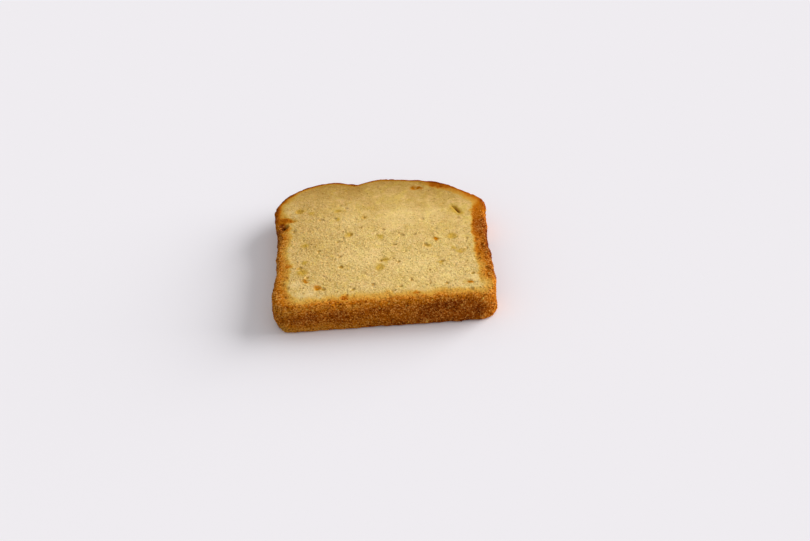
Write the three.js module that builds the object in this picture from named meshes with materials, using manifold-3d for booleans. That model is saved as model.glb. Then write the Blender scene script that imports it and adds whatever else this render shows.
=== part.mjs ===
// One slice of a plain loaf cake, lying flat on a cut face. Millimetres, +Z up.
// Seen from above, the crust that lay on the tin's base is the near edge (-Y), the risen dome is
// the far edge (+Y), and the two crusts that rose up the tin's walls are the left and right sides.
// Both cut faces are flat, with the crumb's larger air holes opening on them as pits.

import * as THREE from 'three';
import { mergeVertices } from 'three/addons/utils/BufferGeometryUtils.js';
import { ImprovedNoise } from 'three/addons/math/ImprovedNoise.js';
import Module from 'manifold-3d';

// The slice: its outline starts with the base crust on y = 0 and the loaf's middle on x = 0.
const THICKNESS = 14.2;
const BASE_WIDTH = 96;
const CORNER_RADIUS = 7;
const OUTLINE_SPACING = 1.5;

// The side is made of rings, one above another. The knife crumbled the upper edge round, and the
// lower one, pressed on the board, stayed sharper.
const UPPER_ROUNDING = 1.6;
const LOWER_ROUNDING = 0.7;
const WALL_RINGS = 7;
const ROUNDING_RINGS = 2;

// The right wall shrank a little off the tin while it cooled, so it is waisted; the dome then
// leans over its shoulder and runs back to a shallow split in the top crust.
const RIGHT_WALL = [[47.7, 21], [47.4, 35], [48.1, 50], [49.5, 66]];
const RIGHT_DOME = [
    [48.9, 71.5], [45.4, 76], [41.2, 80.1], [36, 84.5], [30, 88.6],
    [23, 91.5], [14.5, 93.5], [5.5, 95.3], [-3, 95.5], [-8, 94.1],
];
const DOME_SPLIT = [-11.4, 92.6];

// Left of the split the dome spills over the tin's rim and hangs beside the wall as a rounded lip,
// with a small step under it where the wall's crust begins.
const LEFT_DOME = [
    [-17, 94.8], [-24, 96], [-31, 95], [-38, 92.1], [-44.2, 87.3],
    [-49, 81.8], [-51.1, 75], [-50.8, 67], [-49.7, 60], [-49.6, 53.5],
];
const LIP_STEP = [-47.4, 51.4];
const LEFT_WALL = [[-47.7, 46.5], [-48, 38], [-47.1, 26], [-48, 15], [-48, CORNER_RADIUS]];

// Baked crust is craggy: broad dents, and a grain on top. The dome's skin is smoother.
const DENT_WAVELENGTH = 11;
const DENT_HEIGHT = 0.55;
const GRAIN_WAVELENGTH = 4.2;
const GRAIN_HEIGHT = 0.75;
const DOME_SMOOTHNESS = 0.55;
const WALL_TOP = 60;
const DOME_START = 74;

// The air holes that show on the upper cut face. Each lies at (x, y), is long by wide, is turned
// by a number of degrees from +X, and goes down by its depth.
const UPPER_PITS = [
    { x: 35.6, y: 63.8, long: 8.6, wide: 2.3, turn: -62, depth: 2.6 },
    { x: 17.2, y: 84.4, long: 4.8, wide: 2.4, turn: 2, depth: 1.3 },
    { x: -39, y: 71.4, long: 3.3, wide: 3, turn: 20, depth: 1.8 },
    { x: -7.9, y: 62.7, long: 2.2, wide: 1.7, turn: 10, depth: 1.4 },
    { x: -20.7, y: 69.4, long: 2.9, wide: 1.5, turn: 5, depth: 1.1 },
    { x: -15, y: 49.7, long: 3.6, wide: 2.8, turn: 40, depth: 1.2 },
    { x: 24.6, y: 41.9, long: 2.6, wide: 2.1, turn: 15, depth: 1.3 },
    { x: 31.9, y: 43.2, long: 3.8, wide: 3.2, turn: 70, depth: 1.1 },
    { x: 20.5, y: 37.3, long: 2.6, wide: 2.3, turn: 0, depth: 0.9 },
    { x: 35.6, y: 31.7, long: 2.8, wide: 2.3, turn: 30, depth: 1.1 },
    { x: 1.2, y: 29, long: 4, wide: 1.5, turn: 6, depth: 1.2 },
    { x: -1.1, y: 23.7, long: 3.5, wide: 2.8, turn: 60, depth: 1.2 },
    { x: -35.4, y: 23.8, long: 3.6, wide: 2.8, turn: 15, depth: 0.9 },
    { x: -33.8, y: 17.4, long: 2.3, wide: 2, turn: 0, depth: 1.1 },
    { x: -28.1, y: 12.1, long: 3.1, wide: 2.7, turn: 25, depth: 1.4 },
    { x: 36.1, y: 9.6, long: 2.7, wide: 2, turn: 0, depth: 1.2 },
    { x: -16.6, y: 4.8, long: 3.8, wide: 2.6, turn: 20, depth: 1 },
    { x: -45.4, y: 59.6, long: 5.6, wide: 3.4, turn: 55, depth: 3.4 },
    { x: -42.4, y: 63.8, long: 4, wide: 1.6, turn: 8, depth: 1.1 },
];

// The lower cut face shows air holes of the same sizes, in places drawn at random, but none where
// the slice is measured to rest.
const RANDOM_SEED = 41;
const LOWER_PIT_COUNT = 16;
const LOWER_PIT_X = { least: -41, most: 41 };
const LOWER_PIT_Y = { least: 7, most: 80 };
const LOWER_PIT_TURN = { least: 0, most: 180 };
const LOWER_PIT_LENGTH = { least: 2, most: 4.2 };
const LOWER_PIT_WIDTH = { least: 0.6, most: 1 };       // as a share of its length
const LOWER_PIT_DEPTH = { least: 0.35, most: 0.5 };    // as a share of its length
const PIT_GAP = 9;
const REST_POINT = new THREE.Vector2(0, 48);
const REST_CLEARANCE = 11;
const PIT_UNEVENNESS = 0.35;
const PIT_DETAIL = 1;

const CRUMB_COLOUR = new THREE.Color('rgb(217, 184, 111)');
const CRUMB_ROUGHNESS = 0.9;

const wasm = await Module();
wasm.setup();
const noise = new ImprovedNoise();

function toVectors(points) {
    return points.map(([x, y]) => new THREE.Vector2(x, y));
}

// The slice's outline: a flat base with rounded corners, two waisted walls and the split dome.
function sliceOutline() {
    const cornerX = BASE_WIDTH / 2 - CORNER_RADIUS;
    const path = new THREE.Path();
    path.moveTo(-cornerX, 0);
    path.lineTo(cornerX, 0);
    path.absarc(cornerX, CORNER_RADIUS, CORNER_RADIUS, -Math.PI / 2, 0);
    path.splineThru(toVectors(RIGHT_WALL));
    path.splineThru(toVectors([...RIGHT_DOME, DOME_SPLIT]));
    path.splineThru(toVectors(LEFT_DOME));
    path.lineTo(...LIP_STEP);
    path.splineThru(toVectors(LEFT_WALL));
    path.absarc(-cornerX, CORNER_RADIUS, CORNER_RADIUS, Math.PI, Math.PI * 1.5);
    const points = path.curves.flatMap((curve) => {
        const pieceCount = Math.ceil(curve.getLength() / OUTLINE_SPACING);
        return curve.getSpacedPoints(pieceCount).slice(0, -1);
    });
    return new THREE.Shape(points);
}

// How far the crust stands out or in at a point of the slice's side.
function cragHeight(x, y, z) {
    const dent = noise.noise(x / DENT_WAVELENGTH, y / DENT_WAVELENGTH, z / DENT_WAVELENGTH);
    const grain = noise.noise(x / GRAIN_WAVELENGTH, y / GRAIN_WAVELENGTH, z / GRAIN_WAVELENGTH);
    const smoothing = THREE.MathUtils.smoothstep(y, WALL_TOP, DOME_START) * DOME_SMOOTHNESS;
    return (dent * DENT_HEIGHT + grain * GRAIN_HEIGHT) * (1 - smoothing);
}

// The height of each ring of the side, and how far it is drawn in to round the edges.
function sideRings() {
    const rings = [];
    for (let i = 0; i <= ROUNDING_RINGS; i += 1) {
        const turn = (i / ROUNDING_RINGS) * (Math.PI / 2);
        const height = LOWER_ROUNDING * (1 - Math.cos(turn));
        rings.push({ height, inset: LOWER_ROUNDING * (1 - Math.sin(turn)) });
    }
    const wallHeight = THICKNESS - LOWER_ROUNDING - UPPER_ROUNDING;
    for (let i = 1; i < WALL_RINGS; i += 1) {
        rings.push({ height: LOWER_ROUNDING + (wallHeight * i) / WALL_RINGS, inset: 0 });
    }
    for (let i = 0; i <= ROUNDING_RINGS; i += 1) {
        const turn = (i / ROUNDING_RINGS) * (Math.PI / 2);
        const height = THICKNESS - UPPER_ROUNDING * (1 - Math.sin(turn));
        rings.push({ height, inset: UPPER_ROUNDING * (1 - Math.cos(turn)) });
    }
    return rings;
}

function onlyPositions(geometry) {
    geometry.deleteAttribute('normal');
    geometry.deleteAttribute('uv');
    return mergeVertices(geometry);
}

// Puts each ring of the side at its height, and moves its points in or out, level, by the edge's
// rounding and the crust's crags. The two cut faces stay flat.
function shapeSides(geometry, rings) {
    geometry.computeVertexNormals();
    const position = geometry.getAttribute('position');
    const normal = geometry.getAttribute('normal');
    const outward = new THREE.Vector2();
    for (let i = 0; i < position.count; i += 1) {
        const ring = rings[Math.round(position.getZ(i))];
        outward.set(normal.getX(i), normal.getY(i)).normalize();
        const crag = cragHeight(position.getX(i), position.getY(i), ring.height);
        const shift = crag - ring.inset;
        const x = position.getX(i) + outward.x * shift;
        const y = position.getY(i) + outward.y * shift;
        position.setXYZ(i, x, y, ring.height);
    }
    geometry.deleteAttribute('normal');
    return geometry;
}

// The outline is extruded with one unit of height between rings, which are then put in place.
function uncutSlice() {
    const rings = sideRings();
    const stepCount = rings.length - 1;
    const options = { depth: stepCount, steps: stepCount, bevelEnabled: false };
    const geometry = new THREE.ExtrudeGeometry(sliceOutline(), options);
    return shapeSides(onlyPositions(geometry), rings);
}

// An air hole: an uneven bubble that a cut face passes through the middle of.
function bubble(pit, faceHeight) {
    const geometry = onlyPositions(new THREE.IcosahedronGeometry(1, PIT_DETAIL));
    const position = geometry.getAttribute('position');
    for (let i = 0; i < position.count; i += 1) {
        const point = new THREE.Vector3().fromBufferAttribute(position, i);
        const swell = noise.noise(point.x + pit.x, point.y + pit.y, point.z + faceHeight);
        point.multiplyScalar(1 + PIT_UNEVENNESS * swell);
        position.setXYZ(i, point.x, point.y, point.z);
    }
    geometry.scale(pit.long / 2, pit.wide / 2, pit.depth);
    geometry.rotateZ(THREE.MathUtils.degToRad(pit.turn));
    geometry.translate(pit.x, pit.y, faceHeight);
    return geometry;
}

function randomIn({ least, most }) {
    return THREE.MathUtils.lerp(least, most, THREE.MathUtils.seededRandom());
}

function lowerPits() {
    THREE.MathUtils.seededRandom(RANDOM_SEED);
    const pits = [];
    while (pits.length < LOWER_PIT_COUNT) {
        const place = new THREE.Vector2(randomIn(LOWER_PIT_X), randomIn(LOWER_PIT_Y));
        const long = randomIn(LOWER_PIT_LENGTH);
        const wide = long * randomIn(LOWER_PIT_WIDTH);
        const depth = long * randomIn(LOWER_PIT_DEPTH);
        const turn = randomIn(LOWER_PIT_TURN);
        const isClear = pits.every((pit) => place.distanceTo(pit) > PIT_GAP);
        if (isClear && place.distanceTo(REST_POINT) > REST_CLEARANCE) {
            pits.push({ x: place.x, y: place.y, long, wide, turn, depth });
        }
    }
    return pits;
}

function toSolid(geometry) {
    return new wasm.Manifold(new wasm.Mesh({
        numProp: 3,
        vertProperties: new Float32Array(geometry.getAttribute('position').array),
        triVerts: new Uint32Array(geometry.getIndex().array),
    }));
}

function toGeometry(solid) {
    const mesh = solid.getMesh();
    const geometry = new THREE.BufferGeometry();
    geometry.setAttribute('position', new THREE.BufferAttribute(mesh.vertProperties, 3));
    geometry.setIndex(new THREE.BufferAttribute(mesh.triVerts, 1));
    return geometry;
}

// Puts the origin under the middle of the slice's box, on the surface that it rests on.
function centreOnRest(geometry) {
    geometry.computeBoundingBox();
    const box = geometry.boundingBox;
    const middle = box.getCenter(new THREE.Vector3());
    return geometry.translate(-middle.x, -middle.y, -box.min.z);
}

function cakeSlice() {
    let solid = toSolid(uncutSlice());
    for (const pit of UPPER_PITS) {
        solid = solid.subtract(toSolid(bubble(pit, THICKNESS)));
    }
    for (const pit of lowerPits()) {
        solid = solid.subtract(toSolid(bubble(pit, 0)));
    }
    const geometry = centreOnRest(toGeometry(solid));
    geometry.computeVertexNormals();
    const crumb = new THREE.MeshStandardMaterial({
        color: CRUMB_COLOUR,
        roughness: CRUMB_ROUGHNESS,
        metalness: 0,
    });
    const mesh = new THREE.Mesh(geometry, crumb);
    mesh.name = 'cake_slice';
    return mesh;
}

const loafCakeSlice = new THREE.Group();
loafCakeSlice.add(cakeSlice());

export default loafCakeSlice;
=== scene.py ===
# %% [markdown]
# # A slice of plain loaf cake
#
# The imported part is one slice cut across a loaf, lying flat on a cut face. Its solid already has the
# true outline, the crags of the crust and the larger air holes. What it can't have is the fine
# texture that makes cake look like cake: thousands of small air cells, a sandy browned crust and a
# crumbled edge. This lesson makes that surface, gives it its colours and lights it.
#
# Blender counts in metres, and so does every length here unless its comment says mm. The slice lies
# in the XY plane: its base crust faces -Y, the risen dome faces +Y, and the crusts that stood
# against the tin's walls face -X and +X.

# %% Load the part
import itertools
import math

import bmesh
import bpy
import numpy as np
from mathutils import Matrix, Vector
from mathutils.bvhtree import BVHTree


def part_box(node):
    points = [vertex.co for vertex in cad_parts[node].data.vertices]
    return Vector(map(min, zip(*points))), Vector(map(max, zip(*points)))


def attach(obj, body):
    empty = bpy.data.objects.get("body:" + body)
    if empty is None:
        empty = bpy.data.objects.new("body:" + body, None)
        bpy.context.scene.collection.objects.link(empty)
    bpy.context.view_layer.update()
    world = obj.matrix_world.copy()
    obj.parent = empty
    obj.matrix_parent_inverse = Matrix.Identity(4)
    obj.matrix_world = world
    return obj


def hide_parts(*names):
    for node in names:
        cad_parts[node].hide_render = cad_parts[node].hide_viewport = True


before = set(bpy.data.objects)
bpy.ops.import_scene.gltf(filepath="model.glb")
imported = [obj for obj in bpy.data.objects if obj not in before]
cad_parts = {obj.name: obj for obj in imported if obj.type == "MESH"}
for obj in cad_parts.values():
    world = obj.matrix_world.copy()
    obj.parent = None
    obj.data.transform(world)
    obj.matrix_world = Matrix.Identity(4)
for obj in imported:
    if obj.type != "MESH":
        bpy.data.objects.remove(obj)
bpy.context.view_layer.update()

MM = 0.001
packed_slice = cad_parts["cake_slice"]
slice_low, slice_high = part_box("cake_slice")
print("slice, mm:", [round(side / MM, 1) for side in slice_high - slice_low])

# %% [markdown]
# ## The camera
#
# The camera comes first. It looks down on the slice from the front at 38 degrees, from a little over
# 40 cm, and is rolled a few degrees, so that the slice climbs slightly to the right. A lens of 42.8 mm
# on a 36 mm sensor gives the photograph's framing.

# %% Place the camera
VIEW_ELEVATION = math.radians(38)
VIEW_AZIMUTH = math.radians(0.94)
VIEW_ROLL = math.radians(-4.69)
VIEW_DISTANCE = 430 * MM
VIEW_TARGET = Vector((10.41, -19.28, 7.52)) * MM
LENS = 42.83               # mm


def add_object(name, data):
    made = bpy.data.objects.new(name, data)
    bpy.context.scene.collection.objects.link(made)
    return made


level = Vector((math.cos(VIEW_AZIMUTH), math.sin(VIEW_AZIMUTH), 0))
backward = Vector((
    math.sin(VIEW_AZIMUTH) * math.cos(VIEW_ELEVATION),
    -math.cos(VIEW_AZIMUTH) * math.cos(VIEW_ELEVATION),
    math.sin(VIEW_ELEVATION),
))
upright = backward.cross(level)
turn = Matrix.Rotation(VIEW_ROLL, 3, backward)
camera_axes = Matrix((turn @ level, turn @ upright, backward)).transposed()

camera_data = bpy.data.cameras.new("camera")
camera_data.lens = LENS
camera = add_object("camera", camera_data)
camera.matrix_world = Matrix.LocRotScale(VIEW_TARGET + backward * VIEW_DISTANCE, camera_axes, None)
bpy.context.scene.camera = camera
print("camera at, mm:", [round(place / MM) for place in camera.location])

# %% [markdown]
# ## A fine skin on the solid
#
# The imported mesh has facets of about 1.5 mm, far too large for crumb. It could be subdivided, but
# its long thin triangles on the flat faces would stay long and thin. A voxel remesh instead wraps
# the solid in small, even squares, which can then be pushed about like clay. Eight rounds of
# smoothing take away the facets and soften the rims of the air holes.

# %% Copy, remesh and smooth
VOXEL = 0.34 * MM
SAME_POINT = 0.001 * MM    # points nearer to each other than this are one
SMOOTHING_ROUNDS = 8
SMOOTHING_STRENGTH = 0.5


def apply_modifiers(piece):
    graph = bpy.context.evaluated_depsgraph_get()
    finished = bpy.data.meshes.new_from_object(piece.evaluated_get(graph))
    piece.modifiers.clear()
    piece.data = finished


def copy_of_solid(name):
    solid = bmesh.new()
    solid.from_mesh(packed_slice.data)
    bmesh.ops.remove_doubles(solid, verts=solid.verts, dist=SAME_POINT)
    mesh = bpy.data.meshes.new(name)
    solid.to_mesh(mesh)
    solid.free()
    return add_object(name, mesh)


sponge = copy_of_solid("sponge_slice")
remesh = sponge.modifiers.new("even skin", "REMESH")
remesh.mode = "VOXEL"
remesh.voxel_size = VOXEL
remesh.use_smooth_shade = True
smooth = sponge.modifiers.new("no facets", "SMOOTH")
smooth.factor = SMOOTHING_STRENGTH
smooth.iterations = SMOOTHING_ROUNDS
apply_modifiers(sponge)
print("fine skin:", len(sponge.data.vertices), "points")

# %% [markdown]
# ## How far every point is from the crust
#
# Every later step asks the same questions of a point: how deep is it below the crust, and how far
# is it below the nearer cut face? The second is plain subtraction. The first is the distance to the
# nearest side face of the solid, and a search tree of those faces finds it quickly. It is looked up
# below the reach of the air holes, whose walls would pass for crust too. The holes' own faces go
# into a second tree, because the crumb round a hole is painted darker: partly the olive of moist
# crumb, partly painted shade on the hole's rim and walls.

# %% Measure depths on the slice
HOLE_REACH = 3.8 * MM      # no air hole goes deeper than this
HOLE_RIM = 0.25            # mm below the cut face where an air hole's wall begins
CRUST_SKIN = 2.0           # and mm below the crust where no side face is left


def read_vectors(items, name):
    """A vector of each of a mesh's items, as one row each."""
    numbers = np.empty(len(items) * 3, np.float32)
    items.foreach_get(name, numbers)
    return numbers.reshape(-1, 3).astype(float)


def faces_where(chosen, solid_object):
    """A search tree of those faces of the solid whose middles are chosen."""
    mesh = solid_object.data
    middles = np.array([face.center for face in mesh.polygons])
    faces = [tuple(face.vertices) for face, wanted in zip(mesh.polygons, chosen(middles)) if wanted]
    return BVHTree.FromPolygons([vertex.co for vertex in mesh.vertices], faces)


def away_from(faces, points):
    return np.array([faces.find_nearest(point)[3] for point in points.tolist()]) / MM


def depth_below_crust(points):
    beside_walls = points.copy()
    beside_walls[:, 2] = points[:, 2].clip(slice_low.z + HOLE_REACH, slice_high.z - HOLE_REACH)
    return away_from(walls, beside_walls)


def depth_below_cut(points):
    below = np.minimum(slice_high.z - points[:, 2], points[:, 2] - slice_low.z)
    return below.clip(0) / MM


def on_a_side(middles):
    height = middles[:, 2]
    return (height > slice_low.z + HOLE_REACH) & (height < slice_high.z - HOLE_REACH)


def in_an_air_hole(middles):
    return (depth_below_cut(middles) > HOLE_RIM) & (depth_below_crust(middles) > CRUST_SKIN)


walls = faces_where(on_a_side, packed_slice)
air_holes = faces_where(in_an_air_hole, packed_slice)
skin = read_vectors(sponge.data.vertices, "co")
depth = depth_below_crust(skin)
print("deepest crumb below the crust, mm:", round(depth.max(), 1))

# %% [markdown]
# ## Three kinds of randomness
#
# Cake is irregular, but a script has to give the same slice every time, so every random value comes
# from a seeded grid of numbers. Soft noise gives dents and swellings. Grains are the rounded lumps
# of a crumbly crust: each point belongs to its nearest seed. Bubbles are the air cells of sponge:
# round holes scattered through the whole volume, and where the knife passed through one, the
# surface drops to the bubble's far wall, which is just how a real pore comes about.

# %% Noise, grains and bubbles
GRID = (96, 96, 24)
NEIGHBOURS = list(itertools.product((-1, 0, 1), repeat=3))
CORNERS = list(itertools.product((0, 1), repeat=3))


def smoothstep(low, high, values):
    """0 below one value, 1 above the other, and a soft slope between them."""
    share = np.clip((values - low) / (high - low), 0, 1)
    return share * share * (3 - 2 * share)


def bell(values, middle, width):
    """1 at the middle, fading to nearly 0 two widths away on both sides."""
    return np.exp(-((values - middle) / width) ** 2)


def blend(start, end, share):
    return start + (end - start) * share


def seeded_grid(seed, values):
    return np.random.default_rng(seed).random((*GRID, values))


def soft_noise(points, wavelength, seed):
    """Smooth bumps between -1 and 1, about a wavelength (mm) across."""
    grid = seeded_grid(seed, 1)[..., 0]
    cells = points / (wavelength * MM)
    home = np.floor(cells).astype(int)
    share = cells - home
    share = share * share * (3 - 2 * share)
    total = np.zeros(len(points))
    for corner in CORNERS:
        weight = np.prod(np.where(corner, share, 1 - share), axis=1)
        total += weight * grid[tuple(((home + corner) % GRID).T)]
    return 2 * total - 1


def grains(points, spacing, seed):
    """How high each point stands on its nearest grain, 0 to 1."""
    grid = seeded_grid(seed, 3)
    cells = points / (spacing * MM)
    home = np.floor(cells).astype(int)
    nearest = np.full(len(points), np.inf)
    for step in NEIGHBOURS:
        cell = home + step
        away = np.linalg.norm(cells - cell - grid[tuple((cell % GRID).T)], axis=1)
        nearest = np.minimum(nearest, away)
    return 1 - np.clip(nearest, 0, 1) ** 2


def bubble_depth(points, inward, spacing, smallest, largest, share, seed):
    """How far (mm) each point sinks inward to reach the far wall of the bubble that it is in."""
    grid = seeded_grid(seed, 5)
    cells = points / (spacing * MM)
    home = np.floor(cells).astype(int)
    sunk = np.zeros(len(points))
    for step in NEIGHBOURS:
        cell = home + step
        draw = grid[tuple((cell % GRID).T)]
        radius = smallest + (largest - smallest) * draw[:, 3] ** 2
        offset = (cells - cell - draw[:, :3]) * spacing
        along = np.sum(offset * inward, axis=1)
        reach = radius ** 2 - np.sum(offset ** 2, axis=1)
        inside = (reach > 0) & (draw[:, 4] < share)
        drop = np.sqrt(np.where(inside, along ** 2 + reach, 0)) - along
        sunk = np.maximum(sunk, np.where(inside, drop, 0))
    return sunk


# %% [markdown]
# ## Soft changes of the outline
#
# A slice isn't as straight as its tin. The right wall swells a little near the base crust, and the
# lower left corner was rubbed away when the slice was handled. Both are shallow and soft, so no new
# shape is needed: the points of the skin are moved along X and Y, least where the change ends.

# %% Swell the right wall and wear the corner
SWELLING = 0.6 * MM        # how far the right wall swells
SWELLING_ACROSS = (20 * MM, 48 * MM)       # along X, where the swelling begins and is whole
SWELLING_MIDDLE, SWELLING_REACH = -30, 14  # along Y, mm
WORN_CORNER = (-48.5, -46.5)               # the lower left corner, mm
WORN_NEAR, WORN_FAR = 1, 8                 # mm from it, where the wear is whole and where it ends
WORN_HEIGHT = 6 * MM
WORN_AWAY = np.array((1.0, 0.8)) * MM      # how far it is worn back along X and Y

along_wall = bell(skin[:, 1] / MM, SWELLING_MIDDLE, SWELLING_REACH)
skin[:, 0] += SWELLING * (smoothstep(*SWELLING_ACROSS, skin[:, 0]) * along_wall)
from_corner = np.linalg.norm(skin[:, :2] / MM - WORN_CORNER, axis=1)
near_corner = 1 - smoothstep(WORN_NEAR, WORN_FAR, from_corner)
worn = near_corner * (1 - smoothstep(0, WORN_HEIGHT, skin[:, 2]))
skin[:, :2] += worn[:, None] * WORN_AWAY
print("points moved at the corner:", int((worn > 0).sum()))

# %% [markdown]
# ## The larger air holes
#
# The solid's air holes have regular rims. In real cake the rims wander, and the knife's drag half
# closes the shallow holes. So the points of the cut faces are bent about a little, level, and each
# point below a cut face is lifted by a share of its depth, a large one where the hole is shallow.

# %% Bend and half close the air holes
CUT_START = 0.5            # mm below the crust where a cut face begins, past the rounded edge
CUT_FULL = 1.6             # and where the edge leaves no trace in it
RIM_BEND, RIM_BEND_SIZE = 0.4, 2.2         # how far and how finely the rims are bent, mm
HALF_CLOSED = 0.3          # the share of its depth that a shallow air hole keeps
HARDLY_CLOSED = 0.85       # and the share that a deep one keeps
SHALLOW, DEEP = 1.6, 2.6   # mm

on_cut = smoothstep(CUT_START, CUT_FULL, depth)
bend = np.column_stack([soft_noise(skin, RIM_BEND_SIZE, seed) for seed in (1, 2)])
skin[:, :2] += bend * (on_cut * RIM_BEND * MM)[:, None]

facing = np.where(skin[:, 2] > (slice_low.z + slice_high.z) / 2, 1.0, -1.0)
below_cut = depth_below_cut(skin)
kept = blend(HALF_CLOSED, HARDLY_CLOSED, smoothstep(SHALLOW, DEEP, below_cut))
skin[:, 2] += facing * below_cut * (1 - kept) * on_cut * MM
print("deepest air hole, mm:", round(float(depth_below_cut(skin)[depth > CRUST_SKIN].max()), 1))

# %% [markdown]
# ## The cut faces
#
# A knife leaves little standing above its cut, so everything on a cut face sinks: small lumps of
# crumb, fine bubbles, a few larger ones, and a shallow tearing between them. All of it gets finer
# towards the dense top of the loaf, and that close crumb reaches lower on the right. The points
# aren't moved yet: each step only works out how deep they sink, and in which direction, which is
# straight down on a cut face and square to the surface on the crust.

# %% Pores, lumps and tears of the crumb
BUBBLE_BEND, BUBBLE_BEND_SIZE = 0.4, 1.4   # how far and how finely the bubbles are bent, mm
FINE_BUBBLES = {"spacing": 1.4, "smallest": 0.22, "largest": 0.5, "share": 0.34, "seed": 11}
LARGER_BUBBLES = {"spacing": 3.4, "smallest": 0.45, "largest": 1.2, "share": 0.55, "seed": 12}
DEEPEST_FINE, DEEPEST_LARGER = 0.29, 0.55  # mm
LUMP_HEIGHT, LUMP_SPACING = 0.18, 1.1      # mm
TEARING = ((0.08, 0.8, 14), (0.10, 2.6, 15))       # (how deep mm, how wide mm, seed)
FINE_FROM, FINE_TO = 6 * MM, 50 * MM       # along Y at the left side, where the crumb gets denser
FINE_TILT = 0.35           # how much lower that begins with each mm to the right
FINEST = 0.28              # the share of the crumb's roughness that is left where it is densest


def density(points):
    """0 in the open crumb, 1 in the close crumb by the dome, which reaches lower on the right."""
    return smoothstep(FINE_FROM, FINE_TO, points[:, 1] + FINE_TILT * (points[:, 0] - slice_low.x))


normals = read_vectors(sponge.data.vertex_normals, "vector")
straight_in = np.outer(-facing, (0, 0, 1))
inward = blend(-normals, straight_in, on_cut[:, None])
inward /= np.linalg.norm(inward, axis=1)[:, None]

bend = np.column_stack([soft_noise(skin, BUBBLE_BEND_SIZE, seed) for seed in (4, 5, 6)])
bent = skin + bend * BUBBLE_BEND * MM
fine_pores = bubble_depth(bent, inward, **FINE_BUBBLES).clip(0, DEEPEST_FINE)
larger_pores = bubble_depth(bent, inward, **LARGER_BUBBLES).clip(0, DEEPEST_LARGER)
lumps = LUMP_HEIGHT * (1 - grains(bent, LUMP_SPACING, 13))
tearing = sum(deep * (1 + soft_noise(skin, wide, seed)) for deep, wide, seed in TEARING)
fineness = blend(1, FINEST, density(skin))
crumb_sunk = (np.maximum(fine_pores, larger_pores) + lumps + tearing) * fineness
print("mean sinking on the cut faces, mm:", round(float(crumb_sunk[on_cut > 0.5].mean()), 2))

# %% [markdown]
# ## The crust
#
# The crust by the tin is sandy, with holes between its grains. The dome rose above the tin and
# baked in the open air, so its skin is nearly smooth, drawn into soft wrinkles and a few sharper
# creases. One grows into the other along a border that winds up and down the side walls. A crease
# is where soft noise passes through zero, which gives a winding line instead of a round dent.

# %% Grain of the crust and skin of the dome
WALL_GRAIN, WALL_GRAIN_SPACING = 0.3, 1.15         # height and spacing of the grains, mm
MEAN_GRAIN = 0.6           # how high a grain's surface is on average, as a share of its height
WALL_WAVES, WALL_WAVE_SIZE = 0.14, 4.5     # mm
WALL_BUBBLES = {"spacing": 2.4, "smallest": 0.35, "largest": 0.8, "share": 0.4, "seed": 23}
WALL_BUBBLE_SHARE = 0.5    # the share of its depth that a bubble keeps in the crust
LOWER_EDGE = 1.5 * MM      # below this height the crust gets smooth, so that the slice lies flat
DOME_FROM, DOME_TO = 10 * MM, 19 * MM      # along Y, where the dome's skin takes over
DOME_BORDER_BEND = 3 * MM  # how far that border winds
DOME_BORDER_SIZE = 6.0     # mm from bend to bend
DOME_ROUGHNESS = 0.4       # the share of the sandy crust's roughness that the dome's skin has
WRINKLE_DEPTH, WRINKLE_SIZE = 0.35, 3.2    # mm
CREASE_SPACING = 6.0       # mm
CREASE_WIDTH = 0.16        # as a value of the noise, which is 0 along the crease


def on_dome_skin(points):
    """0 on the sandy crust that stood against the tin, 1 on the smoother skin of the dome."""
    bend_of_border = DOME_BORDER_BEND * soft_noise(points, DOME_BORDER_SIZE, 26)
    return smoothstep(DOME_FROM, DOME_TO, points[:, 1] + bend_of_border)


wall_grain = WALL_GRAIN * (MEAN_GRAIN - grains(bent, WALL_GRAIN_SPACING, 21))
wall_grain += WALL_WAVES * soft_noise(skin, WALL_WAVE_SIZE, 22)
wall_pores = WALL_BUBBLE_SHARE * bubble_depth(bent, inward, **WALL_BUBBLES)
on_dome = on_dome_skin(skin)
above_board = smoothstep(0, LOWER_EDGE, skin[:, 2] - slice_low.z)
creases = smoothstep(CREASE_WIDTH, 0, np.abs(soft_noise(bent, CREASE_SPACING, 25)))
wrinkled = WRINKLE_DEPTH * (soft_noise(skin, WRINKLE_SIZE, 24) + creases) * on_dome
roughness = blend(1, DOME_ROUGHNESS, on_dome)
crust_sunk = (wall_grain + wall_pores) * roughness * above_board + wrinkled
print("deepest place of the crust, mm:", round(float(crust_sunk[on_cut < 0.5].max()), 2))

# %% [markdown]
# ## The upper edge and the torn lip
#
# The upper edge has crumbled away here and there, because the knife tears a crust before it cuts
# it. On the left the dome leans over the tin's rim, and under that lip the cake tore as it rose,
# which leaves a ragged hollow: four dents that run into each other. With these, it is known how
# deep every point sinks, and the skin is moved in one go, but never past the solid's cut faces.

# %% Crumble the edge, tear the lip and move the points
EDGE_WIDTH = 1.2           # the strip that has crumbled, mm from the cut face
CRUMBLED, CRUMBLED_SIZE = 0.35, 1.9        # how deep and how finely it has crumbled, mm
DENTS = {                  # torn places of the cut face, (x, y) mm: (how wide, how deep, mm)
    (-46.4, 12.6): (3.0, 0.5),
    (-45.6, 10.8): (2.8, 0.5),
    (-47.2, 9.2): (3.0, 0.8),
    (-48.2, 6.4): (2.6, 0.9),
}
DENT_FLOOR = 0.3           # the share of a dent's width that is its even floor

edge = bell((slice_high.z - skin[:, 2]) / MM, 0, EDGE_WIDTH) * (1 - on_cut)
crumbled = CRUMBLED * edge * (1 + soft_noise(skin, CRUMBLED_SIZE, 31)) * roughness

dented = np.zeros(len(skin))
for place, (width, deepest) in DENTS.items():
    away = np.linalg.norm(bent[:, :2] / MM - place, axis=1)
    dent = deepest * (1 - smoothstep(DENT_FLOOR * width, width, away))
    dented = np.maximum(dented, dent * (facing > 0))

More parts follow.
